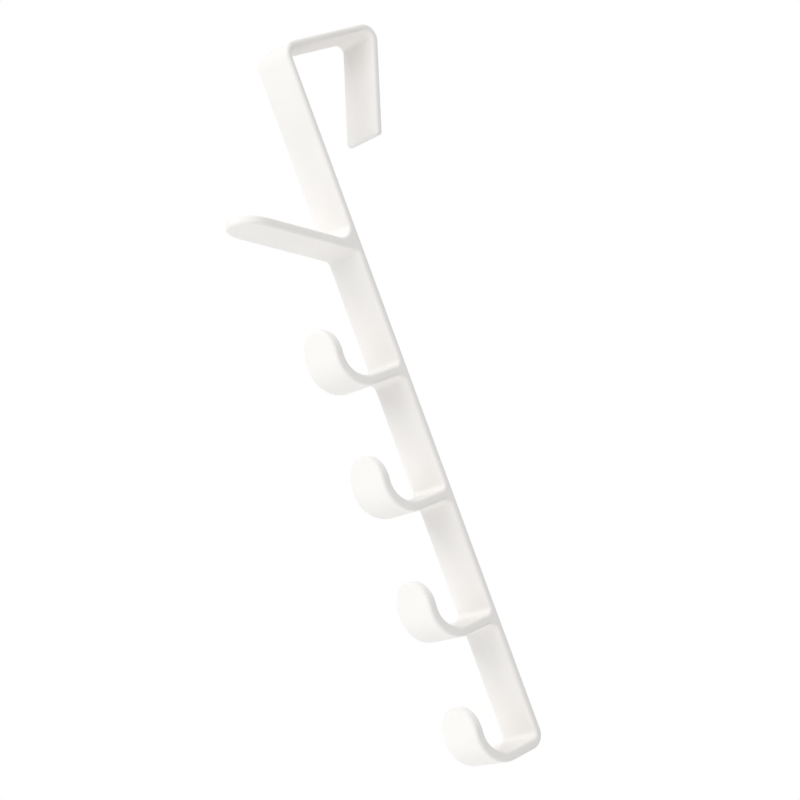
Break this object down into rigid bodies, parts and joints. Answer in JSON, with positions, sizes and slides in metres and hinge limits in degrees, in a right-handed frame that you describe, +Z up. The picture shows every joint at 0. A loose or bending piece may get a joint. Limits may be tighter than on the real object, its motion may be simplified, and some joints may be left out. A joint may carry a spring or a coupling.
{
  "type": "over door hook",
  "caption": "One-piece moulded over-door hook strip: a seat and a leaning spring leg grip the top of a door, and a peg and J hooks down the front strap hold clothes.",
  "frame": {"origin": "middle of the seat's underside, where it rests on the top edge of the door", "axes": "+Z up along the strap, X across the strap, hooks and peg towards -Y, spring leg on +Y"},
  "size_m": [0.02, 0.0918, 0.2827],
  "materials": {
    "white_plastic": "smooth matte moulding, warm white"
  },
  "bodies": {
    "root": {"over_door_hook": "white_plastic"}
  },
  "joints": []
}
